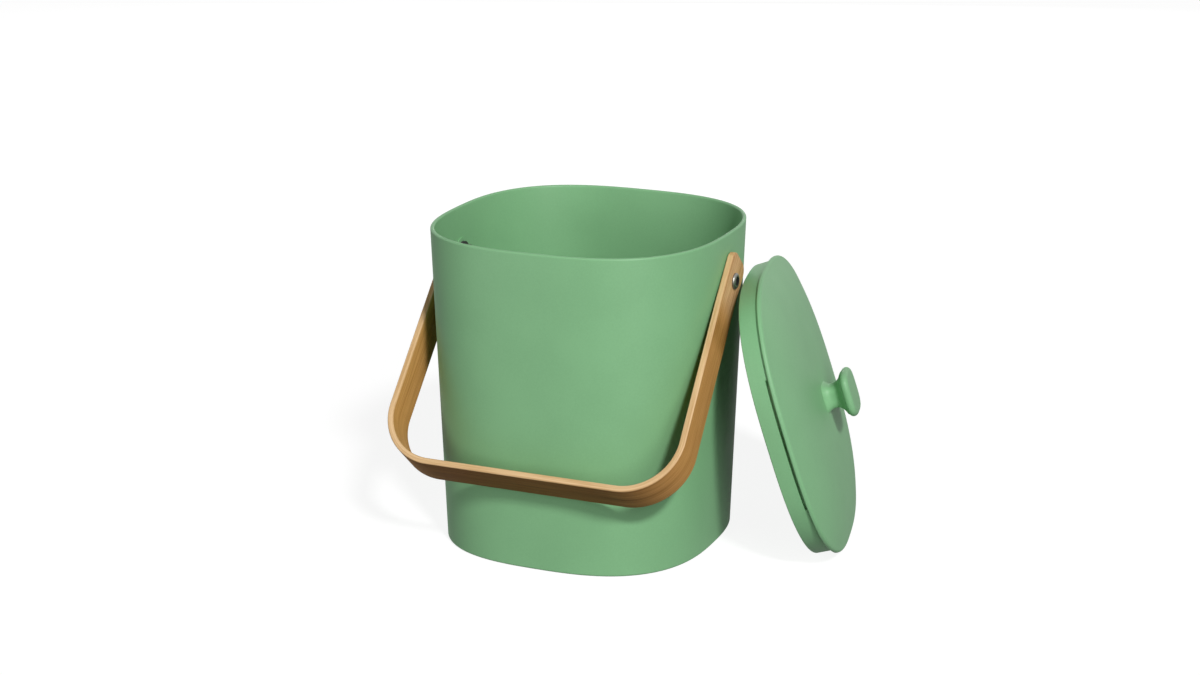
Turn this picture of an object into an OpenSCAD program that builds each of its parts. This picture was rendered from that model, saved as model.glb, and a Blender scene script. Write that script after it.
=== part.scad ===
// Countertop compost caddy: a tapered rounded-square bin with a bent bamboo
// bail handle and a loose plug lid that leans against the bin's right side.
// Millimetres. The origin is the centre of the base, on the floor. +Z is up,
// -Y is the front, and the handle turns about an axis along X.

/* [Bin] */
// Half of the rim's outside width
rim_half = 100; // [90:1:120]
// Half of the base's outside width
base_half = 92.5; // [80:0.5:100]
// Height of the bin
bin_h = 219; // [180:1:260]
// Wall thickness
wall = 2.6; // [2:0.1:4]
// Floor thickness
floor_t = 4; // [3:0.5:8]
// Fullness of the rounded-square outline (2 is a circle)
fullness = 2.7; // [2.4:0.05:3.4]
// Radius of the outside bottom edge
base_r = 1.5; // [1:0.5:8]
// Radius of the inside bottom corner
inner_r = 16; // [8:1:24]

/* [Handle] */
// Distance from the rim down to the pivot axis
pivot_drop = 32; // [26:1:50]
// Distance from the pivot axis to the middle of the crossbar
reach = 161; // [150:1:190]
// Width of the bamboo strap
strap_w = 27.5; // [20:0.5:32]
// Thickness of the bamboo strap
strap_t = 4.3; // [4:0.1:6]
// Middle radius of the two bends
bend_r = 37; // [25:0.5:50]
// Outward lean of each arm below its eye
splay = 1; // [0:0.1:3]
// Length of the straight eye below the pivot
eye_len = 22; // [18:1:40]
// Length of strap beyond the pivot axis
end_len = 17; // [15:0.5:24]
// Corner radius of the strap's two ends
end_r = 7; // [3:0.5:10]
// Bevel along the strap's long edges
strap_bevel = 0.8; // [0.4:0.1:1.5]
// Gap between the crossbar and the front wall at rest
rest_gap = 0.4; // [0.3:0.1:2]

/* [Pivot hardware] */
// Thread diameter of the pivot screws
screw_d = 6; // [5:0.5:8]
// Diameter of the screw head
head_d = 11; // [9:0.5:16]
// Height of the screw head
head_h = 1.9; // [1.6:0.1:4]
// Size across flats of the hex socket
socket_af = 6; // [4:0.5:7]
// Outside diameter of the bush that the strap turns on
bush_d = 8; // [7.5:0.5:9]
// Running clearance between the bush and the strap, on the radius
bush_gap = 0.08; // [0.05:0.01:0.1]
// Side clearance on each face of the strap
side_gap = 0.2; // [0.2:0.05:0.6]
// Diameter of the moulded pivot pads
pad_d = 20; // [18:1:24]
// Least height of each pad proud of the wall beside its washer
pad_proud = 0.1; // [0.05:0.05:1]
// Diameter of the outer steel washer
washer_d = 16; // [14:0.5:20]
// Thickness of the outer steel washer
washer_t = 0.5; // [0.4:0.1:1.5]
// Diameter of the rubber seal washer inside
seal_d = 15; // [13:0.5:18]
// Thickness of the rubber seal washer
seal_t = 1.5; // [1:0.1:3]
// Size across flats of the cap nut
nut_af = 10; // [9:0.5:13]
// Height of the cap nut's hexagon
nut_hex_h = 5; // [4:0.5:8]

/* [Lid] */
// Half of the cover's width
cover_half = 99; // [90:0.5:122]
// Thickness of the cover at its edge
cover_t = 3.5; // [3:0.25:6]
// Rise of the cover's crown
crown = 11; // [6:0.5:16]
// Thickness of the cover's shell
shell_t = 3; // [2:0.1:3.4]
// Clearance between the plug and the bin's mouth
plug_gap = 0.6; // [0.4:0.1:2]
// Depth of the plug below the cover
plug_depth = 13; // [12:0.5:24]
// Wall thickness of the plug
plug_wall = 2.4; // [2:0.1:4]
// Length of each vent slot
slot_len = 91; // [60:1:110]
// Height of each vent slot
slot_h = 2; // [1:0.1:3]

/* [Knob] */
// Half of the knob plate's width
knob_half = 15.8; // [14:0.2:24]
// How square the knob is: 2 is round
knob_fullness = 3.4; // [2.4:0.1:5]
// Half of the neck's width at its waist
neck_half = 8; // [7:0.5:10]
// Half of the neck's width where it meets the cover
neck_foot = 10.5; // [9:0.5:13]
// Height of the knob above the cover
knob_h = 20; // [16:0.5:30]
// Thickness of the knob's plate at its edge
plate_t = 6; // [4:0.5:9]

/* [Filter] */
// Outside diameter of the round filter seat
seat_d = 154; // [120:2:160]
// Wall thickness of the filter seat
seat_wall = 2; // [1.6:0.1:3]
// Thickness of the carbon filter
filter_t = 6; // [4:0.5:7]
// Drop of the ribs that hold the filter off the cover
rib_h = 2.4; // [1.5:0.1:3]
// Thickness of the retainer's grille
grille_t = 1.8; // [1.4:0.1:2.5]
// Width of one slot in the grille
grille_slot = 5; // [3:0.5:7]
// Distance from one grille slot to the next
grille_pitch = 10; // [8:0.5:14]

/* [Lid at rest] */
// Turn of the leaning lid about the vertical
lid_yaw = 11.2; // [8:0.1:14]
// Lean of the lid away from upright
lid_lean = 17.9; // [16:0.1:22]
// Distance of the lid's centre behind the pivot axis
lid_back = 41; // [34:0.1:46]
// Gap between the plug's edge and the turning end of the handle that it leans on
lean_gap = 0.4; // [0.3:0.1:1]

/* [Hidden] */

$fn = 64;
steps = 72;        // points around a rounded-square ring
arc_steps = 6;     // rings in a rounded edge
fit = 0.05;        // clearance around a fastener in its own hole
bite = 0.5;        // depth by which joined shapes run into each other

// Bin heights and widths that other pieces share
pivot_z = bin_h - pivot_drop;
function outer_at(z) = base_half + (rim_half - base_half) * z / bin_h;
function inner_at(z) = outer_at(z) - wall;
lip_r = wall / 2;
// The wall slopes, so it is furthest out at the top of the outer washer and
// furthest in at the foot of the seal washer
pad_x = outer_at(pivot_z + washer_d / 2) + pad_proud;
inner_pad_x = inner_at(pivot_z - seal_d / 2) - pad_proud;

// Places along the pivot axis, from the wall outwards
strap_in = pad_x + washer_t + side_gap;
strap_mid = strap_in + strap_t / 2;
head_x = strap_in + strap_t + side_gap;
head_face = head_x + head_h;
head_edge = 0.4;      // straight side under the screw head's dome
head_flat = 0.62;     // flat top's share of the head's width
socket_share = 0.75;  // socket's depth as a share of the head's height
// and from the wall inwards
nut_x = inner_pad_x - seal_t;
nut_dome_r = nut_af / 2 - 0.5;
tip_x = nut_x - nut_hex_h;
thread_hole = screw_d + 2 * fit;
strap_hole = bush_d + 2 * bush_gap;

// Rest angle of the handle, forward of straight down, at which the inner
// back edge of the crossbar meets the front wall
bar_in = reach - strap_t / 2;
function rest_angle(a = 40, i = 0) = i > 24 ? a :
    rest_angle(asin((outer_at(pivot_z - bar_in * cos(a) - strap_w / 2 * sin(a))
        + rest_gap + strap_w / 2 * cos(a)) / bar_in), i + 1);
rest_a = rest_angle();

// Lid sizes in its own frame: z = 0 is the underside of the cover
plug_half = inner_at(bin_h) - plug_gap;
plug_draft = (rim_half - base_half) / bin_h * plug_depth;
plug_end_half = plug_half - plug_draft;
cover_edge_r = 2.2;
cover_under_r = 0.8;
cover_arc = [15, 82];  // start and end of the rounded edge, in degrees
crown_power = 3;
crown_flat = 16;
// Height of the crowned face above the cover's edge, at half width h
function crown_at(h) = crown * (1 - pow(h / (cover_half - cover_edge_r), crown_power));
cover_top = cover_t + crown_at(crown_flat);
knob_seat = cover_top - shell_t;
plug_edge_r = 0.8;
hollow_half = plug_half - plug_wall;
screw_gap = 0.5;      // room beyond the knob screw's tip
boss_r = 4;
boss_h = 4;
lug_t = 2.5;
lug_r = 11;
lid_screw_d = 3;
lid_screw_head_d = 5.6;
head_taper = 0.78;    // a pan head's top diameter as a share of its full one
lid_screw_head_h = 2;
lid_screw_bite = 3.2;
plug_overrun = 1;     // how far each lug's circle runs past the plug's corner
// Distance from the lid's centre to the plug's corner
corner_reach = plug_half * sqrt(2) / pow(2, 1 / fullness);
lug_at = corner_reach - lug_r + plug_overrun;
rib_t = 1.6;
rib_in = 56;
notch_w = 24;
filter_gap = 0.4;
filter_r = seat_d / 2 - seat_wall - filter_gap;
grip_gap = 0.3;
seat_depth = rib_h + filter_gap + filter_t - grip_gap;
collar_t = 1.8;
collar_h = 4;
retainer_r = seat_d / 2 + grip_gap + collar_t;
grille_top = -seat_depth - grip_gap;
grille_r = filter_r - 6;          // circle that the grille's slots end on
waist_share = 0.42;   // height of the knob's waist as a share of its neck
knob_crown = 0.8;     // rise of the plate's face above its rounded edge
plate_arc = [-60, 75]; // start and end of the plate's rounded edge, in degrees
plate_lift = 0.5;     // rise from the neck's flare to the plate's underside
knob_screw_d = 5;
knob_bore_depth = 13;
knob_washer_d = 12;
knob_washer_t = 1;
knob_head_d = 9;
knob_head_h = 2.6;

// Unit directions of the leaning lid: out of its cover, along the floor, up its face
lid_out = [cos(lid_yaw) * cos(lid_lean), sin(lid_yaw) * cos(lid_lean), sin(lid_lean)];
lid_along = [-sin(lid_yaw), cos(lid_yaw), 0];
lid_up = [-sin(lid_lean) * cos(lid_yaw), -sin(lid_lean) * sin(lid_yaw), cos(lid_lean)];
// The lid stands on the lower of its cover edge and its plug edge
lid_z = max(cover_half * cos(lid_lean) - cover_under_r * sin(lid_lean),
    plug_end_half * cos(lid_lean) + (plug_depth - plug_edge_r) * sin(lid_lean));

// How far out the turning arm is, at distance r from the pivot axis
function arm_out(r) = strap_in + strap_t + tan(splay) * max(0, r - eye_len);

// How far the rounded corners of the strap's end are from the pivot axis
end_reach = norm([end_len - end_r, strap_w / 2 - end_r]) + end_r;

// Whether the handle's end or arm passes the place [y, z] as it turns up from rest
function arm_passes(y, z) = let(r = norm([y, z - pivot_z]))
    r < end_reach || (r < reach && atan2(-y, pivot_z - z) > rest_a - asin(min(1, strap_w / 2 / r)));

// How far out the bin's wall is, at the place [y, z]
function wall_out(y, z) = let(h = outer_at(z)) h * pow(max(0, 1 - pow(abs(y) / h, fullness)), 1 / fullness);

// The offsets at which the places along one edge ring of the plug are clear of
// the arm, or of the wall where no arm passes
function lean_offsets(half, depth) = [for (a = [30 : 0.25 : 150])
    let(q = half * squircle(a) * (lid_along * cos(a) + lid_up * sin(a)) - lid_out * depth,
        y = lid_back + q[1], z = lid_z + q[2])
    lean_gap - q[0] + (arm_passes(y, z) ? arm_out(norm([y, z - pivot_z])) : wall_out(y, z))];
lid_x = max(concat(lean_offsets(plug_end_half - plug_edge_r, plug_depth),
    lean_offsets(plug_end_half, plug_depth - plug_edge_r)));

// ---------- shared shapes ----------

// Distance from the centre to a unit rounded-square outline of fullness f, in direction a
function squircle(a, f = fullness) = 1 / pow(pow(abs(cos(a)), f) + pow(abs(sin(a)), f), 1 / f);

// One ring of a loft: the outline at half width h and height z
function ring(h, z, n, f) = [for (i = [0 : n - 1]) let(a = 360 * i / n)
    [h * squircle(a, f) * cos(a), h * squircle(a, f) * sin(a), z]];

// Points of a rounded edge in a profile of [half width, height] pairs
function edge(ch, cz, r, from, to) = [for (i = [0 : arc_steps])
    let(a = from + (to - from) * i / arc_steps) [ch + r * cos(a), cz + r * sin(a)]];

// Closed solid through a list of [half width, height] rings, flat at both ends
module loft(profile, n = steps, f = fullness) {
    rings = len(profile);
    points = [for (p = profile) each ring(p[0], p[1], n, f)];
    sides = [for (j = [0 : rings - 2]) for (i = [0 : n - 1])
        let(k = (i + 1) % n) [j * n + i, (j + 1) * n + i, (j + 1) * n + k, j * n + k]];
    first = [[for (i = [0 : n - 1]) i]];
    last = [[for (i = [n - 1 : -1 : 0]) (rings - 1) * n + i]];
    polyhedron(points, concat(first, sides, last), convexity = 6);
}

// Cylinder along X from x0 to x1 on the pivot axis
module on_axis(x0, x1, d) {
    translate([x0, 0, pivot_z]) rotate([0, 90, 0]) cylinder(h = x1 - x0, d = d);
}

// The same piece mirrored to the other side of the bin
module left() {
    mirror([1, 0, 0]) children();
}

// Puts a piece of the lid where the leaning lid stands
module lid_place() {
    translate([lid_x, lid_back, lid_z]) rotate([0, 0, lid_yaw]) rotate([0, 90 - lid_lean, 0])
        rotate([0, 0, 90]) children();
}

// ---------- bin ----------

// Wall of the bin as one profile, from the middle of the underside, up the
// outside, over the lip and down the inside to the floor
function bin_profile() = concat(
    edge(outer_at(base_r) - base_r, base_r, base_r, -90, 0),
    edge(rim_half - lip_r, bin_h - lip_r, lip_r, 0, 180),
    edge(inner_at(floor_t + inner_r) - inner_r, floor_t + inner_r, inner_r, 0, -90));

module pivot_pad() {
    on_axis(inner_pad_x, pad_x, pad_d);
}

module bin_body() {
    color("mediumseagreen") difference() {
        union() {
            loft(bin_profile());
            pivot_pad();
            left() pivot_pad();
        }
        on_axis(inner_pad_x - 1, pad_x + 1, thread_hole);
        left() on_axis(inner_pad_x - 1, pad_x + 1, thread_hole);
    }
}

// ---------- pivot hardware ----------

// Button-head screw with a hex socket, run into the cap nut
module pivot_screw() {
    socket_depth = head_h * socket_share;
    difference() {
        union() {
            translate([head_x, 0, pivot_z]) rotate([0, 90, 0]) button_head();
            on_axis(tip_x, head_x + 0.1, screw_d);
        }
        translate([head_face - socket_depth, 0, pivot_z]) rotate([0, 90, 0])
            cylinder(h = socket_depth + 1, d = socket_af / cos(30), $fn = 6);
    }
}

// Low dome turned from its half section, standing on z = 0
module button_head() {
    r = head_d / 2;
    top_r = r * head_flat;
    dome = [for (i = [0 : 8]) let(a = 90 * i / 8)
        [top_r + (r - top_r) * cos(a), head_edge + (head_h - head_edge) * sin(a)]];
    rotate_extrude() polygon(concat([[0, 0], [r, 0]], dome, [[0, head_h]]));
}

module pivot_bush() {
    difference() {
        on_axis(pad_x + washer_t, head_x, bush_d);
        on_axis(pad_x, head_x + 1, thread_hole);
    }
}

module outer_washer() {
    difference() {
        on_axis(pad_x, pad_x + washer_t, washer_d);
        on_axis(pad_x - 1, pad_x + washer_t + 1, thread_hole);
    }
}

module seal_washer() {
    difference() {
        on_axis(nut_x, inner_pad_x, seal_d);
        on_axis(nut_x - 1, inner_pad_x + 1, thread_hole);
    }
}

// Domed cap nut with a blind hole
module cap_nut() {
    difference() {
        union() {
            translate([nut_x - nut_hex_h, 0, pivot_z]) rotate([0, 90, 0])
                cylinder(h = nut_hex_h, d = nut_af / cos(30), $fn = 6);
            translate([nut_x - nut_hex_h, 0, pivot_z]) sphere(r = nut_dome_r);
        }
        on_axis(tip_x - fit, nut_x + 1, thread_hole);
    }
}

module pivot_screw_left() { color("silver") left() pivot_screw(); }
module pivot_screw_right() { color("silver") pivot_screw(); }
module pivot_bush_left() { color("ivory") left() pivot_bush(); }
module pivot_bush_right() { color("ivory") pivot_bush(); }
module outer_washer_left() { color("silver") left() outer_washer(); }
module outer_washer_right() { color("silver") outer_washer(); }
module seal_washer_left() { color("dimgray") left() seal_washer(); }
module seal_washer_right() { color("dimgray") seal_washer(); }
module cap_nut_left() { color("silver") left() cap_nut(); }
module cap_nut_right() { color("silver") cap_nut(); }

// ---------- handle ----------

// Stations along the strap's middle line, right eye to left eye, each
// [across, along, angle of the outward normal]
bend_start = reach - bend_r - bend_r * sin(splay);
bend_at = strap_mid + tan(splay) * (bend_start - eye_len) - bend_r * cos(splay);
bend_steps = 12;
right_path = concat(
    [[strap_mid, -end_len, 0], [strap_mid, eye_len, -splay / 2]],
    [for (i = [0 : bend_steps]) let(a = -splay + (90 + splay) * i / bend_steps)
        [bend_at + bend_r * cos(a), reach - bend_r + bend_r * sin(a), a]]);
strap_path = concat(right_path, [for (i = [len(right_path) - 1 : -1 : 0])
    let(s = right_path[i]) [-s[0], s[1], 180 - s[2]]]);

// Bevelled cross-section: [out from the middle line, across the width]
function strap_section() = let(o = strap_t / 2, w = strap_w / 2, b = strap_bevel)
    [[o, -w + b], [o, w - b], [o - b, w], [b - o, w], [-o, w - b], [-o, b - w], [b - o, -w], [o - b, -w]];

// The strap swept along its path, hanging down -Z with its width along Y
module strap_sweep() {
    section = strap_section();
    m = len(section);
    n = len(strap_path);
    points = [for (s = strap_path) for (c = section)
        [s[0] + c[0] * cos(s[2]), c[1], -s[1] - c[0] * sin(s[2])]];
    sides = [for (j = [0 : n - 2]) for (i = [0 : m - 1]) let(k = (i + 1) % m)
        [j * m + i, j * m + k, (j + 1) * m + k, (j + 1) * m + i]];
    caps = [[for (i = [m - 1 : -1 : 0]) i], [for (i = [0 : m - 1]) (n - 1) * m + i]];
    polyhedron(points, concat(sides, caps), convexity = 6);
}

// What is cut off the two corners of an arm's square end to leave them round
module end_trim() {
    for (side = [0, 1]) mirror([0, side, 0])
        translate([strap_mid, strap_w / 2 - end_r, end_len - end_r]) difference() {
            translate([-strap_t, 0, 0]) cube([strap_t * 2, end_r * 2, end_r * 2]);
            translate([-strap_t - 1, 0, 0]) rotate([0, 90, 0]) cylinder(h = strap_t * 2 + 2, r = end_r);
        }
}

module handle_strap() {
    color("burlywood") translate([0, 0, pivot_z]) rotate([-rest_a, 0, 0]) difference() {
        strap_sweep();
        for (side = [0, 1]) mirror([side, 0, 0]) {
            end_trim();
            translate([strap_in - 1, 0, 0]) rotate([0, 90, 0]) cylinder(h = strap_t + 2, d = strap_hole);
        }
    }
}

// ---------- lid ----------

// Rings from the edge in to the flat under the knob
function crown_rings(offset, outer, inner, n) = [for (i = [1 : n])
    let(h = outer + (inner - outer) * i / n) [h, offset + crown_at(h)]];

function cover_profile() = concat(
    [[cover_half - cover_under_r, 0], [cover_half, cover_under_r]],
    edge(cover_half - cover_edge_r, cover_t - cover_edge_r, cover_edge_r, cover_arc[0], cover_arc[1]),
    crown_rings(cover_t, cover_half - cover_edge_r - 2, crown_flat, 9));

// Roof of the hollow under the cover, one shell below the crowned face
function roof_rings(lift) = concat([[hollow_half, cover_t - shell_t + crown_at(hollow_half) + lift]],
    crown_rings(cover_t - shell_t + lift, hollow_half - 1, crown_flat, 8));

// Block that ends below the roof plus lift, and starts at the given depth
module under_roof(depth, lift) {
    loft(concat([[hollow_half, -depth]], roof_rings(lift)));
}

// Round wall that holds the filter, with notches that let the air out
module filter_seat() {
    r = seat_d / 2;
    difference() {
        translate([0, 0, -seat_depth]) difference() {
            cylinder(h = seat_depth + cover_top, r = r, $fn = 96);
            translate([0, 0, -1]) cylinder(h = seat_depth + cover_top + 2, r = r - seat_wall, $fn = 96);
        }
        for (i = [0 : 3]) rotate([0, 0, 90 * i])
            translate([r - seat_wall - 2, -notch_w / 2, -rib_h]) cube([seat_wall + 4, notch_w, rib_h]);
    }
}

// Ribs that hold the filter off the cover, so that air can cross above it
module filter_ribs() {
    length = seat_d / 2 - seat_wall + bite - rib_in;
    for (i = [0 : 7]) rotate([0, 0, 45 * i + 22.5])
        translate([rib_in, -rib_t / 2, -rib_h]) cube([length, rib_t, rib_h + cover_top]);
}

// Puts its children at the four corner fixings of the lid
module at_corners() {
    for (i = [0 : 3]) rotate([0, 0, 90 * i + 45]) translate([lug_at, 0, 0]) children();
}

module lid_cover() {
    color("darkseagreen") lid_place() difference() {
        union() {
            difference() {
                loft(cover_profile());
                under_roof(1, 0);
            }
            intersection() {
                union() {
                    filter_seat();
                    filter_ribs();
                    at_corners() translate([0, 0, -boss_h]) cylinder(h = boss_h + cover_top, r = boss_r);
                }
                under_roof(seat_depth + 1, bite);
            }
        }
        translate([0, 0, knob_seat - 1]) cylinder(h = shell_t + 2, d = knob_screw_d + 2 * fit);
        at_corners() translate([0, 0, -boss_h - 1])
            cylinder(h = lid_screw_bite + 1, d = lid_screw_d + 2 * fit);
    }
}

// Inside of the plug, down to its free edge
module plug_inside(extra) {
    loft([[plug_end_half - plug_wall, -plug_depth - extra], [plug_half - plug_wall, extra]]);
}

module lid_plug() {
    r = plug_edge_r;
    color("mediumseagreen") lid_place() difference() {
        union() {
            difference() {
                loft(concat([[plug_end_half - r, -plug_depth], [plug_end_half, -plug_depth + r]],
                    [[plug_half, 0]]));
                plug_inside(0.1);
            }
            intersection() {
                at_corners() translate([0, 0, -boss_h - lug_t]) cylinder(h = lug_t, r = lug_r);
                loft([[plug_end_half - 1, -plug_depth], [plug_half - 1, 0]]);
            }
        }
        for (side = [0, 1]) rotate([0, 0, 180 * side])
            translate([hollow_half - 4, -slot_len / 2, -slot_h])
                cube([plug_wall + 8, slot_len, slot_h + 1]);
        at_corners() translate([0, 0, -plug_depth]) cylinder(h = plug_depth, d = lid_screw_d + 2 * fit);
    }
}

// Four pan-head screws that hold the plug to the cover
module lid_screws() {
    under = -boss_h - lug_t;
    color("silver") lid_place() at_corners() {
        translate([0, 0, under - bite])
            cylinder(h = lug_t + lid_screw_bite - fit + bite, d = lid_screw_d);
        translate([0, 0, under - lid_screw_head_h])
            cylinder(h = lid_screw_head_h, d1 = lid_screw_head_d * head_taper, d2 = lid_screw_head_d);
    }
}

// ---------- knob ----------

// Neck that swells from its foot, through a waist, out to the plate
function knob_profile() = let(
    r = plate_t / 2,
    under = knob_h - plate_t - knob_crown,
    waist = under * waist_share,
    foot_curve = [for (i = [0 : 5]) let(t = i / 5)
        [neck_half + (neck_foot - neck_half) * pow(1 - t, 2), waist * t]],
    flare = [for (i = [1 : 7]) let(t = i / 7)
        [neck_half + (knob_half - 2 - neck_half) * pow(t, 2.2), waist + (under - waist) * pow(t, 0.9)]],
    crown_ring = [for (t = [0.62, 0.3]) [knob_half * t, knob_h - knob_crown * pow(t, 2)]])
    concat(foot_curve, flare,
        edge(knob_half - r, under + r + plate_lift, r, plate_arc[0], plate_arc[1]), crown_ring);

module knob() {
    color("mediumseagreen") lid_place() translate([0, 0, cover_top]) difference() {
        loft(knob_profile(), 40, knob_fullness);
        translate([0, 0, -1]) cylinder(h = knob_bore_depth + 1, d = knob_screw_d + 2 * fit);
    }
}

module knob_washer() {
    color("silver") lid_place() translate([0, 0, knob_seat - knob_washer_t]) difference() {
        cylinder(h = knob_washer_t, d = knob_washer_d);
        translate([0, 0, -1]) cylinder(h = knob_washer_t + 2, d = knob_screw_d + 2 * fit);
    }
}

module knob_screw() {
    bearing = knob_seat - knob_washer_t;
    color("silver") lid_place() {
        translate([0, 0, bearing - bite])
            cylinder(h = cover_top - bearing + knob_bore_depth - screw_gap + bite, d = knob_screw_d);
        translate([0, 0, bearing - knob_head_h])
            cylinder(h = knob_head_h, d1 = knob_head_d * head_taper, d2 = knob_head_d);
    }
}

// ---------- filter ----------

module carbon_filter() {
    color("dimgray") lid_place() translate([0, 0, grille_top])
        cylinder(h = filter_t, r = filter_r, $fn = 96);
}

// Slots across the grille on each side of its middle bar, each as long as the
// circle allows
module grille_slots() {
    bar = 4;
    count = floor(grille_r * 2 / grille_pitch);
    for (i = [0 : count - 1]) {
        y = (i - (count - 1) / 2) * grille_pitch;
        half = sqrt(pow(grille_r, 2) - pow(abs(y) + grille_slot / 2, 2));
        for (side = [-1, 1]) translate([side * (half + bar) / 2, y, 0]) grille_slot_cut(half - bar);
    }
}

// One round-ended slot of the given length along X
module grille_slot_cut(length) {
    straight = length - grille_slot;
    translate([0, 0, -1]) linear_extrude(height = grille_t + 2) {
        square([straight, grille_slot], center = true);
        for (end = [-1, 1]) translate([end * straight / 2, 0]) circle(d = grille_slot, $fn = 24);
    }
}

// Snap-on cap: a slotted grille and the collar that grips the filter seat
module filter_retainer() {
    color("darkseagreen") lid_place() translate([0, 0, grille_top - grille_t]) difference() {
        cylinder(h = grille_t + collar_h, r = retainer_r, $fn = 96);
        translate([0, 0, grille_t]) cylinder(h = collar_h + 1, r = retainer_r - collar_t, $fn = 96);
        grille_slots();
    }
}

bin_body();
handle_strap();
pivot_screw_left();
pivot_screw_right();
pivot_bush_left();
pivot_bush_right();
outer_washer_left();
outer_washer_right();
seal_washer_left();
seal_washer_right();
cap_nut_left();
cap_nut_right();
lid_cover();
lid_plug();
lid_screws();
knob();
knob_screw();
knob_washer();
carbon_filter();
filter_retainer();
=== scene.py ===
# %% [markdown]
# # A countertop compost caddy
# This lesson dresses a finished set of solids: a tapered rounded-square bin,
# a bent bamboo handle on steel screws, and a loose plug lid that stands at the
# right and leans on the handle. The solids already have every size and every
# place, so a Blender piece is made exactly where the real one is, and nothing
# is fitted.

# %% Load the frame
import bpy
import math
from mathutils import Matrix, Vector


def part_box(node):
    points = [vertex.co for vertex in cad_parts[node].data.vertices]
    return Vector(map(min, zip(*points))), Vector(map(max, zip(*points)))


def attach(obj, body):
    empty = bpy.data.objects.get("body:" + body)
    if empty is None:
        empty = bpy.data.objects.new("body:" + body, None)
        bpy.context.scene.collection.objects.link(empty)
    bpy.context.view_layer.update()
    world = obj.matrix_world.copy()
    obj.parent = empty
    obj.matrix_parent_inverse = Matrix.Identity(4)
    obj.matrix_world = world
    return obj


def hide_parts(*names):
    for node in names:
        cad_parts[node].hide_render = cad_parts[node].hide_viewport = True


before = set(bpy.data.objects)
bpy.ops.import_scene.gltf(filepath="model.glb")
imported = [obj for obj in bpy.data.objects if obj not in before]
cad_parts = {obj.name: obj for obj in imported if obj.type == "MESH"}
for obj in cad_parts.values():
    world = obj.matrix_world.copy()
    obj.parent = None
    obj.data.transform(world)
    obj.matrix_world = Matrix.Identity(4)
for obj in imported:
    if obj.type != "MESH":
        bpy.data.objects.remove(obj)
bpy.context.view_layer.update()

# %% [markdown]
# ## Sizes
# The real caddy is measured in millimetres, and Blender works in metres. The
# sizes below are those of the solids, written once, so that every piece that
# has to meet another takes them from the same place. A name that ends in HALF
# is half a width, one that ends in R is a radius, and angles are in degrees.

# %% Sizes in millimetres
MM = 0.001
FULLNESS, KNOB_FULLNESS = 2.7, 3.4   # of a rounded square: 2 would be a circle

# The bin, its pivot pads and the holes in them
RIM_HALF, BASE_HALF, BIN_H, WALL, FLOOR_T = 100.0, 92.5, 219.0, 2.6, 4.0
BASE_R, INNER_R = 1.5, 16.0
PIVOT_Z, PAD_D, SCREW_HOLE = 187.0, 20.0, 6.1

# The handle: its strip, its ends, its bends and the screw heads outside it
STRAP_W, STRAP_T, STRAP_EDGE_R, STRAP_MID = 27.5, 4.3, 0.9, 102.128
END_LEN, END_R, EYE_LEN, STRAP_HOLE = 17.0, 7.0, 22.0, 8.16
REACH, BEND_R, SPLAY, REST_ANGLE = 161.0, 37.0, 1.0, 41.481
HEAD_FACE, SOCKET_R = 106.378, 3.5
KNOT_AT, PALE_FROM = 209.0, 219.0   # from the strip's middle, the right half counted up

# The lid: its place, its cover, its filter seat, its plug and its lugs
LID_AT, LID_YAW, LID_LEAN = (142.618, 41.0, 95.4404), 11.2, 17.9
COVER_HALF, COVER_T, CROWN, CROWN_FLAT, SHELL_T = 99.0, 3.5, 11.0, 16.0, 3.0
EDGE_R, UNDER_R = 2.2, 0.8
SEAT_R, SEAT_WALL, SEAT_DEPTH, SEAT_TOP = 77.0, 2.0, 8.5, 7.7
NOTCH_W, NOTCH_DEPTH = 24.0, 2.4
RIB_LEN, RIB_T, RIB_H, RIB_AT, RIB_MID = 20.0, 1.6, 12.1, 66.0, 3.65
BOSS_R, BOSS_LOW, BOSS_TOP, PILOT_R = 4.0, -4.0, 4.8, 1.55
PLUG_DEPTH, PLUG_WALL, PLUG_GAP, PLUG_FOOT_R = 13.0, 2.4, 0.6, 0.8
SLOT_LEN, SLOT_H, LUG_R, LUG_T = 91.0, 2.0, 11.0, 2.5

# The knob
KNOB_HALF, NECK_HALF, NECK_FOOT, KNOB_H, PLATE_T = 15.8, 8.0, 10.5, 20.0, 6.0
DISH, BORE_R, BORE_DEPTH = 0.8, 2.55, 13.0


def outer_at(z):
    return BASE_HALF + (RIM_HALF - BASE_HALF) * z / BIN_H


def inner_at(z):
    return outer_at(z) - WALL


print("half width of the rim and the base", outer_at(BIN_H), outer_at(0))

# %% [markdown]
# ## Outlines and lofts
# The bin, the cover, the plug and the knob are all one kind of shape: a
# rounded square that grows and shrinks as it rises. Such a form could be made
# from a cube with a subdivision surface, but its corners then drift away from
# the solid's. A loft through rings of the same outline keeps them exact, and
# the same helper turns round parts when it is given a circle.

# %% Rings and lofts


def rounded_square(half, turn, fullness=FULLNESS):
    """The point of the outline of this half width in the direction of the turn."""
    c, s = abs(math.cos(turn)), abs(math.sin(turn))
    r = half / (c ** fullness + s ** fullness) ** (1 / fullness)
    return r * math.cos(turn), r * math.sin(turn)


def circle(half, turn):
    return half * math.cos(turn), half * math.sin(turn)


def arc(centre_half, centre_z, radius, start, end, steps=10):
    """Rings along a rounding, from one angle to another in degrees."""
    angles = [math.radians(start + (end - start) * i / steps) for i in range(steps + 1)]
    return [(centre_half + radius * math.cos(a), centre_z + radius * math.sin(a)) for a in angles]


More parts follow.
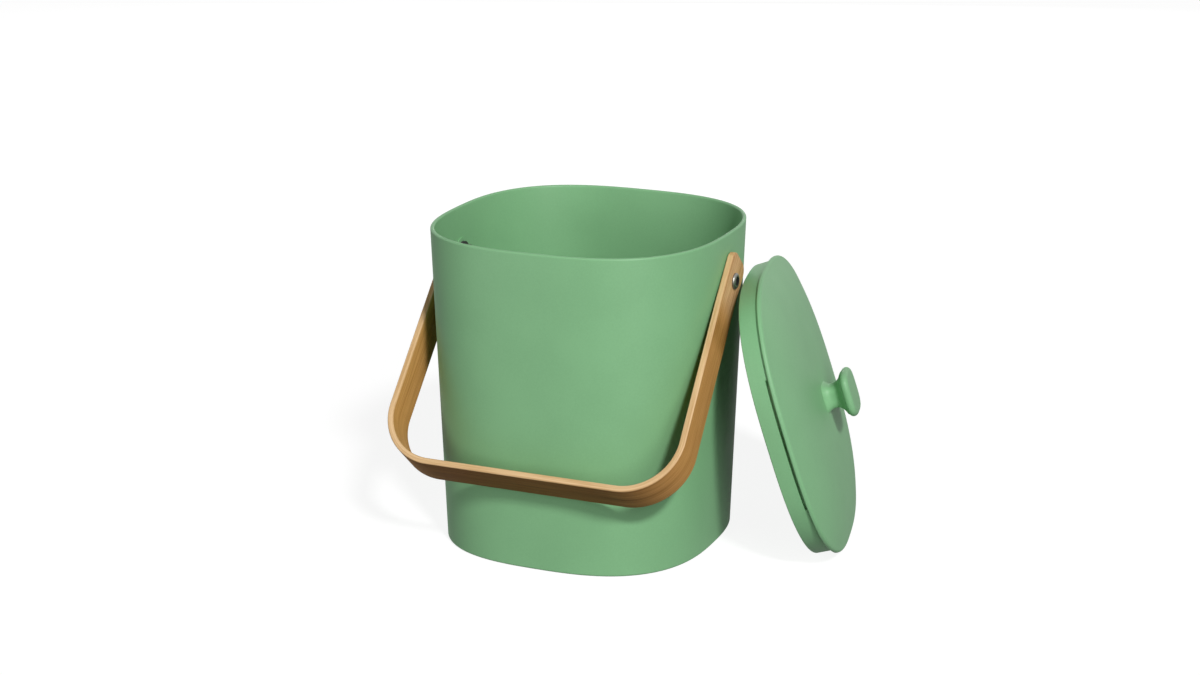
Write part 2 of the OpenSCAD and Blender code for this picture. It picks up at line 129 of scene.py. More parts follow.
def loft(profile, shape=rounded_square, count=240, closed=False):
    """Points and faces of a skin through (half width, height) rings. Half width 0 is one point."""
    points, rows, faces = [], [], []
    for half, z in profile:
        if half == 0:
            rows.append([len(points)] * count)
            points.append((0.0, 0.0, z))
        else:
            rows.append([len(points) + i for i in range(count)])
            points += [(*shape(half, 2 * math.pi * i / count), z) for i in range(count)]
    for a, b in zip(rows, rows[1:] + rows[:1] if closed else rows[1:]):
        for i in range(count):
            k = (i + 1) % count
            corners = [a[i], a[k], b[k], b[i]]
            faces.append([v for n, v in enumerate(corners) if v not in corners[:n]])
    return points, faces


def piece(name, points, faces, place=Matrix.Identity(4)):
    """A new object from points in millimetres."""
    mesh = bpy.data.meshes.new(name)
    mesh.from_pydata([place @ (Vector(p) * MM) for p in points], [], faces)
    mesh.validate()
    obj = bpy.data.objects.new(name, mesh)
    bpy.context.scene.collection.objects.link(obj)
    return obj


at_corner = math.hypot(*rounded_square(1, math.pi / 4))
print("a rounded square of half width 1 reaches", round(at_corner, 4), "at its corner")

# %% [markdown]
# ## Cutting and joining
# A hole could be drawn into the faces by hand, but a Boolean modifier does it
# cleanly on closed shapes, as a drill does. Its result is read back as a plain
# mesh, so that no modifier is left on the finished piece. Last, each piece is
# shaded smooth with its real edges kept sharp, rides on its body, and hides
# the solid that it stands for.

# %% Tools for pieces


def applied(obj):
    """The object with its modifiers turned into plain mesh."""
    graph = bpy.context.evaluated_depsgraph_get()
    mesh = bpy.data.meshes.new_from_object(obj.evaluated_get(graph))
    obj.modifiers.clear()
    old = obj.data
    obj.data = mesh
    bpy.data.meshes.remove(old)
    mesh.name = obj.name
    return obj


def combine(obj, other, operation):
    """Joins the other object to the first, cuts it out or keeps what both share."""
    tool = obj.modifiers.new("cut", "BOOLEAN")
    tool.operation, tool.object, tool.solver = operation, other, "EXACT"
    applied(obj)
    bpy.data.objects.remove(other)
    return obj


def wear(obj, finish):
    obj.data.materials.clear()
    obj.data.materials.append(finish)


def dress(obj, body, finish, solid, sharp=38):
    """Finishes a piece, lets it ride on its body and puts it in the place of its solid."""
    obj.data.shade_smooth()
    obj.data.set_sharp_from_angle(angle=math.radians(sharp))
    wear(obj, finish)
    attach(obj, body)
    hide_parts(solid)
    axes = list(zip(*[vertex.co for vertex in obj.data.vertices]))
    ours = [min(values) for values in axes] + [max(values) for values in axes]
    theirs = [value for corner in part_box(solid) for value in corner]
    off = max(abs(a - b) for a, b in zip(ours, theirs)) / MM
    print(f"{obj.name}: {len(obj.data.polygons)} faces, box within {off:.2f} mm of the solid's")


def rod(name, x0, x1, diameter, z=PIVOT_Z, count=64):
    """A closed cylinder along x, between two places in either order."""
    x0, x1 = sorted((x0, x1))
    profile = [(0, 0), (diameter / 2, 0), (diameter / 2, x1 - x0), (0, x1 - x0)]
    place = Matrix.Translation(Vector((x0, 0, z)) * MM) @ Matrix.Rotation(math.pi / 2, 4, "Y")
    return piece(name, *loft(profile, circle, count), place)


# %% [markdown]
# ## A small language for finishes
# Each finish is a tree of shader nodes. Written node by node, a tree is hard to
# follow, so two small classes do it: a value that can be added, multiplied and
# mixed like a number, and a finish with one method for any other node. Colours
# are written as they look on a screen and turned into the linear values that
# light needs.

# %% Values that do arithmetic, and finishes made of them


class Value:
    """An output socket. Arithmetic on it adds Math nodes, or Vector Math nodes to a vector."""

    def __init__(self, finish, socket):
        self.finish, self.socket = finish, socket

    def math(self, operation, *others, flip=False):
        terms = [self, *others][::-1] if flip else [self, *others]
        kind = "VectorMath" if self.socket.type == "VECTOR" else "Math"
        return self.finish.node(kind, {"operation": operation}, dict(enumerate(terms)))

    def __add__(self, other): return self.math("ADD", other)
    def __sub__(self, other): return self.math("SUBTRACT", other)
    def __mul__(self, other): return self.math("MULTIPLY", other)
    def __pow__(self, other): return self.math("POWER", other)
    def __radd__(self, other): return self.math("ADD", other, flip=True)
    def __rsub__(self, other): return self.math("SUBTRACT", other, flip=True)
    def __rmul__(self, other): return self.math("MULTIPLY", other, flip=True)
    def __abs__(self): return self.math("ABSOLUTE")

    def ramp(self, low, high):
        """Goes smoothly from 0 to 1 while this value goes from low to high."""
        return self.finish.node("MapRange", {"interpolation_type": "SMOOTHSTEP"},
                                {0: self, 1: low, 2: high})

    def mix(self, first, second):
        """A colour between two, by this value."""
        ends = {0: self, 6: first, 7: second}
        return self.finish.node("Mix", {"data_type": "RGBA"}, ends, out=2)

    def parts(self):
        node = self.finish.node("SeparateXYZ", {}, {0: self}).socket.node
        return [Value(self.finish, socket) for socket in node.outputs]


class Finish:
    """A node material on a Principled surface whose plain inputs are given by name."""

    def __init__(self, name, **plain):
        self.material = bpy.data.materials.new(name)
        self.material.use_nodes = True
        self.tree = self.material.node_tree
        self.surface = self.tree.nodes["Principled BSDF"]
        self.set(**plain)

    def set(self, **inputs):
        for name, value in inputs.items():
            self.put(self.surface.inputs[name.replace("_", " ")], value)

    def put(self, socket, value):
        if isinstance(value, Value):
            self.tree.links.new(value.socket, socket)
        else:
            socket.default_value = value

    def node(self, kind, settings, inputs, out=0):
        node = self.tree.nodes.new("ShaderNode" + kind)
        for name, value in settings.items():
            setattr(node, name, value)
        for name, value in inputs.items():
            self.put(node.inputs[name], value)
        return Value(self, node.outputs[out])

    def place(self):
        """Where a point is on the object, in metres."""
        return self.node("TexCoord", {}, {}, out="Object")

    def noise(self, where, scale, detail=2.0, roughness=0.5):
        return self.node("TexNoise", {}, {"Vector": where, "Scale": scale, "Detail": detail,
                                          "Roughness": roughness})

    def bump(self, height, distance):
        """Raises the surface by height times distance in metres."""
        relief = {"Height": height, "Distance": distance, "Strength": 1.0}
        self.set(Normal=self.node("Bump", {}, relief))


def screen(red, green, blue):
    """A colour as a screen shows it, 0 to 255, in linear light."""
    linear = [((v / 255 + 0.055) / 1.055) ** 2.4 if v > 10 else v / 3295
              for v in (red, green, blue)]
    return (*linear, 1.0)


print("screen grey 128 is", round(screen(128, 128, 128)[0], 3), "in linear light")

# %% [markdown]
# ## The green finish
# The bin, the cover, the plug and the knob are one satin plastic. Its colour
# wanders a little because the pigment isn't perfectly mixed, and its skin has
# the fine grain of a blasted mould. A real grain is some hundredths of a
# millimetre deep, so the bump is given as a true depth instead of a strength.
# The slotted cap is of the same plastic, a little deeper in colour.

# %% Satin green plastic
GRAIN = 0.02


def green_plastic(name, colour, deeper):
    finish = Finish(name, IOR=1.5, Specular_IOR_Level=0.35)
    where = finish.place()
    drift = finish.noise(where, 22.0, 3.0)
    fleck = finish.noise(where, 900.0, 2.0)
    finish.set(Base_Color=(0.6 * drift + 0.4 * fleck).ramp(0.35, 0.65).mix(colour, deeper),
               Roughness=0.4 + 0.08 * finish.noise(where, 60.0))
    finish.bump(finish.noise(where, 1500.0, 2.0, 0.6), GRAIN * MM)
    return finish.material


bin_green = green_plastic("satin_green", screen(134, 188, 138), screen(130, 183, 134))
cap_green = green_plastic("grille_green", screen(126, 173, 129), screen(120, 167, 123))
print("green finishes", bin_green.name, cap_green.name)

# %% [markdown]
# ## The bamboo finish
# The handle is one strip of bent bamboo. Its fibres run along the strip and
# follow both bends, so the pattern can't be laid in plain x, y and z. Each
# point of the strip carries how far it is along, across and out from the
# middle line, and the grain is drawn in those measures: long in the first and
# fine in the other two. The sawn edges are paler than the faces. The outer
# face of the crossbar between the two bends faces down and away from the key
# lamp, and it is painted a darker brown: painted shade.
# Both ends turn paler near the pivots, and the cane's one joint, a darker
# band across the strip, lies in the right arm.

# %% Bent bamboo
SHADE_TO, PLAIN_FROM = 56.0, 112.0    # the stretch painted in shade, from the strip's middle
KNOT_CORE, KNOT_REACH = 2.0, 14.0     # half widths of the darker band
SAWN_FROM = STRAP_W / 2 - 1.15        # where the face turns into the sawn edge


def bent_bamboo():
    finish = Finish("bent_bamboo", IOR=1.5, Specular_IOR_Level=0.08)
    strip = finish.node("Attribute", {"attribute_name": "strip"}, {}, out="Vector")
    along, across, out = strip.parts()
    streak = finish.noise(strip * (22.0, 1100.0, 700.0), 1.0, 3.0, 0.6)
    fibre = finish.noise(strip * (60.0, 4200.0, 3000.0), 1.0, 2.0)
    band = finish.noise(strip * (6.0, 140.0, 60.0), 1.0, 2.0)
    tone = (0.5 * streak + 0.3 * fibre + 0.2 * band).ramp(0.36, 0.62)
    plain = tone.mix(screen(184, 131, 70), screen(213, 160, 95))
    # painted shade: a darker brown for the crossbar's outer face, which faces down
    painted_shade_brown = tone.mix(screen(114, 74, 32), screen(148, 104, 56))
    pale_end = tone.mix(screen(185, 136, 83), screen(236, 192, 142))
    knot = tone.mix(screen(148, 98, 42), screen(192, 144, 80))
    sawn = streak.ramp(0.3, 0.7).mix(screen(206, 166, 116), screen(234, 198, 152))

    blurred = abs(along) + 0.04 * (band - 0.5)    # so that no patch ends in a straight line
    waver = along + 0.01 * (streak - 0.5)
    # where the painted shade lies: the outer face between the two bends
    at_crossbar = 1.0 - blurred.ramp(SHADE_TO * MM, PLAIN_FROM * MM)
    outside = out.ramp(0.0, 1.0 * MM)
    at_knot = 1.0 - abs(waver - KNOT_AT * MM).ramp(KNOT_CORE * MM, KNOT_REACH * MM)
    near_end = abs(waver).ramp(PALE_FROM * MM, (PALE_FROM + 18.0) * MM)
    at_edge = abs(across).ramp(SAWN_FROM * MM, (SAWN_FROM + 0.9) * MM)

    colour = (outside * at_crossbar).mix(plain, painted_shade_brown)
    for where, tint in ((at_knot, knot), (near_end, pale_end), (at_edge, sawn)):
        colour = where.mix(colour, tint)
    finish.set(Base_Color=colour, Roughness=0.46 + 0.14 * streak)
    finish.bump(0.6 * streak + 0.4 * fibre, 0.08 * MM)
    return finish.material


bamboo = bent_bamboo()
print("bamboo finish", bamboo.name)

# %% [markdown]
# ## Steel, nylon, rubber and felt
# The screws and nuts are turned and tumbled steel, which is bright with faint
# cloudy patches. The bushes are natural nylon, the seals are black rubber, and
# the filter is a pad of carbon felt, which is a mat of fine dark hairs that
# scatter nearly all light. Their solids have true shapes already, so they are
# kept and only finished. A plain colour would look painted from close by, so a
# cloud of noise varies the colour and the roughness together.

# %% Small parts' finishes


def bright_steel(name, socket=False):
    """Tumbled steel. A socket's recess on the pivot axis is painted black: painted shade."""
    finish = Finish(name)
    where = finish.place()
    cloud = finish.noise(where, 350.0, 3.0)
    colour = cloud.mix(screen(128, 127, 121), screen(154, 152, 145))
    metal, rough = 1.0, 0.28 + 0.16 * cloud
    if socket:
        x, y, z = where.parts()
        height = z - PIVOT_Z * MM
        off_axis = (y * y + height * height) ** 0.5
        behind_face = 1.0 - abs(x).ramp((HEAD_FACE - 0.12) * MM, (HEAD_FACE - 0.06) * MM)
        painted_recess_shade = behind_face * (1.0 - off_axis.ramp(SOCKET_R * MM, (SOCKET_R + 0.1) * MM))
        # painted shade: the socket's recess is coloured near black and not metal, for the shade in
        # the hollow
        colour = painted_recess_shade.mix(colour, screen(12, 12, 13))
        metal, rough = 1.0 - painted_recess_shade, rough + 0.3 * painted_recess_shade
    finish.set(Base_Color=colour, Metallic=metal, Roughness=rough)
    finish.bump(finish.noise(where, 2600.0, 2.0), 0.004 * MM)
    return finish.material


def plain_skin(name, colour, deeper, rough, scale, depth):
    """A cloudy skin that isn't metal, with pores of this scale, and this deep in millimetres."""
    finish = Finish(name, IOR=1.5)
    where = finish.place()
    cloud = finish.noise(where, scale, 4.0, 0.6)
    finish.set(Base_Color=cloud.ramp(0.3, 0.7).mix(colour, deeper), Roughness=rough - 0.1 * cloud)
    finish.bump(cloud, depth * MM)
    return finish.material


steel = bright_steel("bright_steel")
shaded_socket_steel = bright_steel("shaded_socket_steel", socket=True)
nylon = plain_skin("natural_nylon", screen(232, 228, 214), screen(222, 217, 200), 0.5, 800.0, 0.01)
rubber = plain_skin("black_rubber", screen(38, 38, 38), screen(48, 48, 47), 0.8, 1200.0, 0.03)
felt = plain_skin("carbon_felt", screen(26, 26, 27), screen(58, 58, 58), 1.0, 1500.0, 0.5)
FINISHES = {"pivot_screw": shaded_socket_steel, "outer_washer": steel, "cap_nut": steel,
            "pivot_bush": nylon, "seal_washer": rubber, "lid_screws": steel,
            "knob_screw": steel, "knob_washer": steel, "carbon_filter": felt,
            "filter_retainer": cap_green}
for node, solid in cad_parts.items():
    for start, finish in FINISHES.items():
        if node.startswith(start):
            wear(solid, finish)
print("finishes on", sum(1 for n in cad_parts.values() if n.data.materials), "solids")

# %% [markdown]
# ## The bin
# The bin is a moulded pail: sides that bulge a little as seen from above and
# flare by 7.5 mm each, corners that run into them without a line, a wall that
# ends in a round lip, and a flat floor with a wide inside corner. A cone with
# a Solidify modifier would give the wall, but with a square lip and a sharp
# inside corner. So one closed profile is lofted, from the middle of the
# underside, up the outside, over the lip and down to the middle of the floor.
# A round pad on each side gives the pivot a flat seat.

# %% The bin
FINE = 288                                    # points round the outlines seen from close by
PAD_OUT = outer_at(PIVOT_Z + 8) + 0.1         # just proud of the wall at the pad's highest part
PAD_IN = inner_at(PIVOT_Z - 7.5) - 0.1        # and inside it at the seal's lowest part
lip_r = WALL / 2
floor_ring = inner_at(FLOOR_T + INNER_R) - INNER_R
profile = ([(0, 0)] + arc(outer_at(BASE_R) - BASE_R, BASE_R, BASE_R, -90, 0)
           + arc(RIM_HALF - lip_r, BIN_H - lip_r, lip_r, 0, 180, 16)
           + arc(floor_ring, FLOOR_T + INNER_R, INNER_R, 0, -90, 20) + [(0, FLOOR_T)])
bin_shell = piece("bin", *loft(profile, count=FINE))
for side in (-1, 1):
    combine(bin_shell, rod("pad", side * PAD_IN, side * PAD_OUT, PAD_D, count=96), "UNION")
    hole = rod("hole", side * (PAD_IN - 1), side * (PAD_OUT + 1), SCREW_HOLE)
    combine(bin_shell, hole, "DIFFERENCE")
dress(bin_shell, "bin", bin_green, "bin_body")

# %% [markdown]
# ## The handle
# The handle is a flat strip, 27.5 mm wide and 4.3 mm thick, steamed and bent
# round two corners, with rounded corners at each end. A box bent by a modifier
# would thin at the bends, so the strip is drawn flat first, and every point is
# then carried to its place along the middle line: u is along it from the right
# pivot, v across it and t out from it. From the pivot the line runs straight
# past the eye, slopes outwards by the splay, goes round the bend and crosses
# to the other side. The same walk backwards tells the grain where a point is.

# %% The handle's middle line
splay = math.radians(SPLAY)
BEND_DOWN = REACH - BEND_R                                  # how far down the bend's centre is
slope_down = BEND_DOWN - BEND_R * math.sin(splay) - EYE_LEN
BEND_AT = STRAP_MID + math.tan(splay) * slope_down - BEND_R * math.cos(splay)
SLOPE_END = EYE_LEN + slope_down / math.cos(splay)
BEND_LEN = BEND_R * (math.pi / 2 + splay)
BEND_END = SLOPE_END + BEND_LEN
HALF_PATH = BEND_END + BEND_AT


def on_path(u):
    """Place (x, down) and outward normal of the right half of the middle line."""
    if u <= EYE_LEN:
        return (STRAP_MID, u), (1.0, 0.0)
    if u <= SLOPE_END:
        c, s, t = math.cos(splay), math.sin(splay), u - EYE_LEN
        return (STRAP_MID + t * s, EYE_LEN + t * c), (c, -s)
    if u <= BEND_END:
        a = (u - SLOPE_END) / BEND_R - splay
        c, s = math.cos(a), math.sin(a)
        return (BEND_AT + BEND_R * c, BEND_DOWN + BEND_R * s), (c, s)
    return (BEND_AT - (u - BEND_END), REACH), (0.0, 1.0)


def strap_point(u, v, t):
    """Where a point of the strip goes, with the handle hanging straight down."""
    mirror = -1 if u > HALF_PATH else 1
    (x, down), (nx, nd) = on_path(min(u, 2 * HALF_PATH - u))
    return mirror * (x + t * nx), v, -(down + t * nd)


def strap_measure(x, y, z):
    """The walk backwards, with the first measure taken from the strip's middle."""
    side, down = abs(x), -z
    a = math.atan2(down - BEND_DOWN, side - BEND_AT)
    if side < BEND_AT and down > REACH / 2:
        u, t = BEND_END + BEND_AT - side, down - REACH
    elif a > -splay and down > REACH / 2:
        u = SLOPE_END + (a + splay) * BEND_R
        t = math.hypot(down - BEND_DOWN, side - BEND_AT) - BEND_R
    else:
        u, t = down, side - STRAP_MID - math.tan(splay) * max(0.0, down - EYE_LEN)
    return math.copysign(HALF_PATH - u, x), y, t


print("strip length", round(2 * HALF_PATH + 2 * END_LEN, 1), "mm")

# %% [markdown]
# The strip is a stack of outlines, each with its points in the same order, so
# that neighbours join into its edge. The outermost two close with rungs from
# side to side. The outlines draw in towards both faces to round the edge. The
# pivot holes are drilled before the handle is turned to its place at rest.

# %% The strip, its pivot holes and its grain measures


def strip_outline(inset):
    """One side of the flat strip from tip to tip, as (u, v) pairs, drawn in by the inset."""
    half, corner = STRAP_W / 2 - inset, END_R - inset
    centre = END_R - END_LEN
    tip = [(inset - END_LEN, (half - corner) * i / 6) for i in range(6)]
    tip += [(centre - corner * math.cos(a), half - corner + corner * math.sin(a))
            for a in (math.pi / 2 * i / 18 for i in range(19))]
    stations = ([centre + 0.5 + (SLOPE_END - centre) * i / 24 for i in range(24)]
                + [SLOPE_END + BEND_LEN * i / 48 for i in range(49)]
                + [BEND_END + (HALF_PATH - BEND_END) * i / 12 for i in range(1, 12)])
    right = tip + [(u, half) for u in stations]
    return right + [(2 * HALF_PATH - u, v) for u, v in [(HALF_PATH, half)] + right[::-1]]


rounding = [(STRAP_EDGE_R * (1 - math.cos(a)), STRAP_EDGE_R * (1 - math.sin(a)) - STRAP_T / 2)
            for a in (math.pi / 2 * (6 - i) / 6 for i in range(7))]
levels = rounding + [(inset, -t) for inset, t in rounding[::-1]]
points, faces, loops = [], [], []
for inset, t in levels:
    outline = strip_outline(inset)
    loop = outline + [(u, -v) for u, v in outline[-2:0:-1]]
    loops.append(range(len(points), len(points) + len(loop)))
    points += [strap_point(u, v, t) for u, v in loop]
for low, high in zip(loops, loops[1:]):
    n = len(low)
    faces += [[low[i], high[i], high[(i + 1) % n], low[(i + 1) % n]] for i in range(n)]
for loop, order in ((loops[0], 1), (loops[-1], -1)):
    n = len(loop)
    for i in range(n // 2):
        rung = [loop[i], loop[i + 1], loop[(n - i - 1) % n], loop[(n - i) % n]]
        faces.append([v for k, v in enumerate(rung) if v not in rung[:k]][::order])
strap = piece("handle", points, faces)
for side in (-1, 1):
    hole = rod("hole", side * (STRAP_MID - 8), side * (STRAP_MID + 8), STRAP_HOLE, z=0.0)
    combine(strap, hole, "DIFFERENCE")
measures = strap.data.attributes.new("strip", "FLOAT_VECTOR", "POINT")
for vertex, measure in zip(strap.data.vertices, measures.data):
    measure.vector = Vector(strap_measure(*(vertex.co / MM))) * MM
strap.data.transform(Matrix.Translation((0, 0, PIVOT_Z * MM))
                     @ Matrix.Rotation(-math.radians(REST_ANGLE), 4, "X"))
dress(strap, "handle", bamboo, "handle_strap", sharp=50)

# %% [markdown]
# ## The lid's place
# The lid isn't hinged: it is lifted off and stood on its edge against the
# handle. Its pieces are drawn flat on z = 0 and then placed together, turned
# by the same angles as the solids. An empty could carry them there, but with
# the turn worked into their points, each box can be set against its solid's.

# %% The lid's place
lid = (Matrix.Translation(Vector(LID_AT) * MM)
       @ Matrix.Rotation(math.radians(LID_YAW), 4, "Z")
       @ Matrix.Rotation(math.radians(90 - LID_LEAN), 4, "Y")
       @ Matrix.Rotation(math.pi / 2, 4, "Z"))
PLUG_HALF = inner_at(BIN_H) - PLUG_GAP
PLUG_END = PLUG_HALF - (RIM_HALF - BASE_HALF) / BIN_H * PLUG_DEPTH
HOLLOW = PLUG_HALF - PLUG_WALL
LUG_AT = PLUG_HALF * math.sqrt(2) / 2 ** (1 / FULLNESS) - 10.0
diagonals = [math.radians(45 + 90 * i) for i in range(4)]
lugs = [(LUG_AT * math.cos(a), LUG_AT * math.sin(a)) for a in diagonals]


def crown_at(half):
    """How high the dome stands above its own edge."""
    return CROWN * (1 - (half / (COVER_HALF - EDGE_R)) ** 3)


COVER_TOP = COVER_T + crown_at(CROWN_FLAT)


def upright(name, radius, low, high, x=0.0, y=0.0):
    """A closed cylinder of the lid, standing along the lid's own axis."""
    profile = [(0, low), (radius, low), (radius, high), (0, high)]
    return piece(name, *loft(profile, circle, 64), Matrix.Translation(Vector((x, y, 0)) * MM))


def block(name, size, centre, turn=0.0):
    """A closed block of the lid, turned about the lid's axis."""
    square = [(-0.5, -0.5), (0.5, -0.5), (0.5, 0.5), (-0.5, 0.5)]
    points = [[c + s * v for c, s, v in zip(centre, size, (x, y, z))]
              for z in (-0.5, 0.5) for x, y in square]
    faces = [(3, 2, 1, 0), (4, 5, 6, 7), (0, 1, 5, 4), (1, 2, 6, 5), (2, 3, 7, 6), (3, 0, 4, 7)]
    return piece(name, points, faces, Matrix.Rotation(turn, 4, "Z"))


print("lid stands", round((lid @ Vector((0, 0, COVER_TOP * MM))).x, 4), "m out at its crown")

# %% [markdown]
# ## The cover
# The cover is a thin crowned shell: a low dome that drops faster towards a
# small rounded edge, and a flat rim underneath that closes on the bin's lip.
# Underneath it carries a round wall for the filter, notched so that air can
# leave, eight short ribs that hold the filter off the roof, and four bosses.
# The skin could be a subdivided grid pulled up in the middle, but a loft gives
# the dome's true curve. What is underneath is joined on as closed shapes,
# because it meets the skin where no ring of the loft runs.

# %% The cover
DOME_STEPS = 28


def spread(start, end):
    return [start + (end - start) * i / DOME_STEPS for i in range(DOME_STEPS + 1)]


inner_halves = spread(CROWN_FLAT, HOLLOW)
outer_halves = spread(COVER_HALF - EDGE_R - 2, CROWN_FLAT)
profile = ([(0, COVER_TOP - SHELL_T)]
           + [(h, COVER_T - SHELL_T + crown_at(h)) for h in inner_halves]
           + [(HOLLOW, 0), (COVER_HALF - UNDER_R, 0), (COVER_HALF, UNDER_R)]
           + arc(COVER_HALF - EDGE_R, COVER_T - EDGE_R, EDGE_R, 15, 82, 10)
           + [(h, COVER_T + crown_at(h)) for h in outer_halves] + [(0, COVER_TOP)])
cover = piece("cover", *loft(profile, count=FINE))

seat_in = SEAT_R - SEAT_WALL
ring = [(seat_in, -SEAT_DEPTH), (SEAT_R, -SEAT_DEPTH), (SEAT_R, SEAT_TOP), (seat_in, SEAT_TOP)]
seat = piece("seat", *loft(ring, circle, 192, closed=True))
for i in range(4):
    at = (SEAT_R - 1, 0, -NOTCH_DEPTH / 2)
    notch = block("notch", (6, NOTCH_W, NOTCH_DEPTH), at, math.pi / 2 * i)
    combine(seat, notch, "DIFFERENCE")
combine(cover, seat, "UNION")
for i in range(8):
    rib = block("rib", (RIB_LEN, RIB_T, RIB_H), (RIB_AT, 0, RIB_MID), math.pi / 8 * (2 * i + 1))
    combine(cover, rib, "UNION")
for at in lugs:
    combine(cover, upright("boss", BOSS_R, BOSS_LOW, BOSS_TOP, *at), "UNION")
    combine(cover, upright("pilot", PILOT_R, BOSS_LOW - 1, -0.8, *at), "DIFFERENCE")
combine(cover, upright("knob_hole", BORE_R, 8, 16), "DIFFERENCE")
cover.data.transform(lid)
dress(cover, "lid", bin_green, "lid_cover")

# %% [markdown]
# ## The plug
# The plug is a low wall that drops into the bin's mouth and keeps the lid
# centred. A long slot under the cover on two sides lets the filtered air out.
# Lugs in its corners take the screws that hold it up against the cover. The
# wall is a loft whose profile closes on itself, so that it needs no cap. A lug
# could be drawn to fit the corner, but it is simpler to draw a whole disc and
# keep only what lies within the wall.

# %% The plug
foot_r = PLUG_FOOT_R
profile = ([(PLUG_END - PLUG_WALL, -PLUG_DEPTH)]
           + arc(PLUG_END - foot_r, foot_r - PLUG_DEPTH, foot_r, -90, 0, 6)
           + [(PLUG_HALF, 0), (HOLLOW, 0)])
plug = piece("plug", *loft(profile, count=FINE, closed=True))
within = [(0, -PLUG_DEPTH), (PLUG_END - 1, -PLUG_DEPTH), (PLUG_HALF - 1, 0), (0, 0)]
for at in lugs:
    lug = upright("lug", LUG_R, BOSS_LOW - LUG_T, BOSS_LOW, *at)
    combine(lug, piece("within", *loft(within)), "INTERSECT")
    combine(plug, lug, "UNION")
    combine(plug, upright("screw_hole", PILOT_R, -8, -2, *at), "DIFFERENCE")
vent_at = (HOLLOW + 1, 0, 0.5 - SLOT_H / 2)
for side in (0, 1):
    # 1 mm taller than the slot, because the slot is open up to the cover
    vent = block("vent", (10, SLOT_LEN, SLOT_H + 1), vent_at, math.pi * side)
    combine(plug, vent, "DIFFERENCE")
plug.data.transform(lid)
dress(plug, "lid", bin_green, "lid_plug")

# %% [markdown]
# ## The knob
# The knob is a short neck that narrows from its foot to a waist and flares to
# a rounded-square plate, wide enough for two fingertips behind it. A neck and
# a plate made apart would show a line between them, so both are one loft, in a
# squarer outline than the bin's. A blind bore takes the screw from behind.

# %% The knob
edge_half = PLATE_T / 2
under = KNOB_H - PLATE_T - DISH
waist = under * 0.42
foot = [(NECK_HALF + (NECK_FOOT - NECK_HALF) * (1 - t) ** 2, waist * t)
        for t in (i / 14 for i in range(15))]
flare = [(NECK_HALF + (KNOB_HALF - 2 - NECK_HALF) * t ** 2.2, waist + (under - waist) * t ** 0.9)
         for t in (i / 20 for i in range(1, 21))]
edge = arc(KNOB_HALF - edge_half, under + edge_half + 0.5, edge_half, -60, 75, 16)
face = [(KNOB_HALF * t, KNOB_H - DISH * t * t) for t in (0.74, 0.62, 0.5, 0.4, 0.3)]
profile = [(0, 0)] + foot + flare + edge + face + [(0, face[-1][1])]


def knob_outline(half, turn):
    return rounded_square(half, turn, KNOB_FULLNESS)


knob = piece("knob_grip", *loft(profile, knob_outline, 160))
combine(knob, upright("bore", BORE_R, -1, BORE_DEPTH), "DIFFERENCE")
knob.data.transform(lid @ Matrix.Translation((0, 0, COVER_TOP * MM)))
dress(knob, "lid", bin_green, "knob", sharp=50)

# %% [markdown]
# ## Floor and surround
# The object stands on a plain pale floor in front of white. The floor gives
# back little light of its own, so that the creases of the object stay dark.
# It adds white to what the camera sees, so it looks white where it is lit and
# still shows the object's shadow. In gloss that white is dimmer, or it would
# veil the plastic near the floor. The world around it is white to the camera
# and to gloss, and almost dark as a light.

# %% Floor and surround
FLOOR_GLOW, FLOOR_IN_GLOSS, WORLD_FILL = 0.88, 0.3, 0.015
FLOOR_REACH, FLOOR_SINK = 9000.0, 0.2     # sunk a little, so that no foot shares its plane
SEEN_BY = {"Is Camera Ray": 1.0, "Is Transmission Ray": 1.0, "Is Glossy Ray": FLOOR_IN_GLOSS}
black, glow = (0.0, 0.0, 0.0, 1.0), (FLOOR_GLOW, FLOOR_GLOW, FLOOR_GLOW, 1.0)
pale = Finish("pale_floor", Roughness=0.9, Specular_IOR_Level=0.0)
seen = 0.0
for ray, share in SEEN_BY.items():
    seen = (pale.node("LightPath", {}, {}, out=ray) * share).math("MAXIMUM", seen)
dust = pale.noise(pale.place(), 3.0)
pale.set(Base_Color=dust.mix(screen(127, 127, 127), screen(129, 129, 129)),
         Emission_Color=seen.mix(black, glow), Emission_Strength=1.0)
corners = [(FLOOR_REACH * x, FLOOR_REACH * y, -FLOOR_SINK)
           for x, y in ((-1, -1), (1, -1), (1, 1), (-1, 1))]
floor = piece("floor", corners, [(0, 1, 2, 3)])
wear(floor, pale.material)

world = bpy.data.worlds.new("surround")
world.use_nodes = True
bpy.context.scene.world = world
nodes, links = world.node_tree.nodes, world.node_tree.links
background = nodes["Background"]
background.inputs["Color"].default_value = (1.0, 1.0, 1.0, 1.0)
rays = nodes.new("ShaderNodeLightPath")
onward = background.inputs["Strength"]
for ray in SEEN_BY:
    brighter = nodes.new("ShaderNodeMath")
    brighter.operation = "MAXIMUM"
    links.new(rays.outputs[ray], brighter.inputs[0])
    links.new(brighter.outputs["Value"], onward)
    onward = brighter.inputs[1]
onward.default_value = WORLD_FILL
print("floor", floor.name, "and surround", world.name)

# %% [markdown]
# ## Lamps
# A far, high lamp to the front right is the key: like a sun it lights every
# part alike, and its width softens the shadow edges a little. A tall soft box
# under it carries its light down to the table. A weaker box at the left opens
# the shadow side. One behind serves whoever walks round the object, and gloss
# doesn't show it, because it would put a glare on the near rims.

# %% Lamps
AIM, BOX_FAR = Vector((0.03, 0.0, 0.11)), 2.4     # in metres


def toward(azimuth, elevation):
    """Direction to a viewer or lamp: azimuth 0 is in front, 90 is at the right."""
    a, e = math.radians(azimuth), math.radians(elevation)
    return Vector((math.sin(a) * math.cos(e), -math.cos(a) * math.cos(e), math.sin(e)))


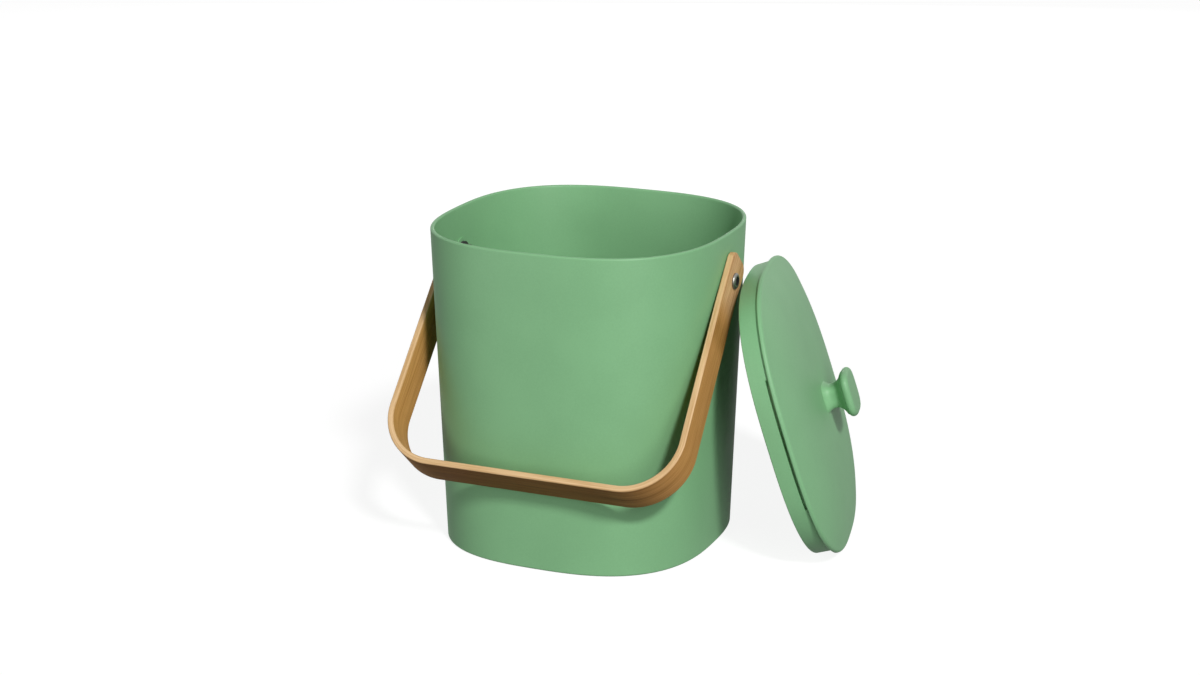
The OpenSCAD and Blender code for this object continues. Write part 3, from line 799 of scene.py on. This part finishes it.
def lamp(name, kind, azimuth, elevation, distance, level):
    """A lamp that aims at the object. At level 1 a white card facing it looks fully white."""
    light = bpy.data.lights.new(name, kind)
    obj = bpy.data.objects.new(name, light)
    bpy.context.scene.collection.objects.link(obj)
    direction = toward(azimuth, elevation)
    obj.location = AIM + direction * distance
    obj.rotation_mode = "QUATERNION"
    obj.rotation_quaternion = (-direction).to_track_quat("-Z", "Y")
    light.energy = level * math.pi * (1.0 if kind == "SUN" else math.pi * distance ** 2)
    return obj


def soft_box(name, azimuth, elevation, level, width, height):
    obj = lamp(name, "AREA", azimuth, elevation, BOX_FAR, level)
    obj.data.shape, obj.data.size, obj.data.size_y = "RECTANGLE", width, height
    return obj


key = lamp("key", "SUN", 43.0, 40.0, 2.0, 0.65)
key.data.angle = 0.12
soft_box("tall_box", 45.0, 19.0, 0.33, 0.6, 1.5)
soft_box("left_box", -38.0, 9.0, 0.18, 0.7, 0.9)
behind = soft_box("back_box", -160.0, 8.0, 0.36, 0.9, 0.7)
behind.visible_glossy = False
print("key strength", round(key.data.energy, 2))

# %% [markdown]
# ## Camera
# The camera stands to the right of the front and looks down a little. Its
# place and its three axes, which are its right, its up and its back, come from
# the lines of the bin's rim and foot and of the handle, so that every outline
# falls where it should. A Track To constraint could aim it, but written axes
# fix its roll as well. The plain colour transform keeps written colours true.

# %% Camera
LENS, SENSOR = 72.109, 36.0     # in millimetres
CAMERA_AT = (0.625721, -1.446240, 0.601876)
CAMERA_AXES = [(0.919553, 0.392967, -0.000360),
               (-0.111099, 0.260854, 0.958964),
               (0.376935, -0.881778, 0.283527)]
camera = bpy.data.objects.new("camera", bpy.data.cameras.new("camera"))
bpy.context.scene.collection.objects.link(camera)
camera.data.sensor_width, camera.data.lens = SENSOR, LENS
turned = Matrix(CAMERA_AXES).transposed().to_4x4()
camera.matrix_world = Matrix.Translation(CAMERA_AT) @ turned
bpy.context.scene.camera = camera
bpy.context.scene.view_settings.view_transform = "Standard"
print("lens", LENS, "mm, camera", round(Vector(CAMERA_AT).length, 2), "m away")
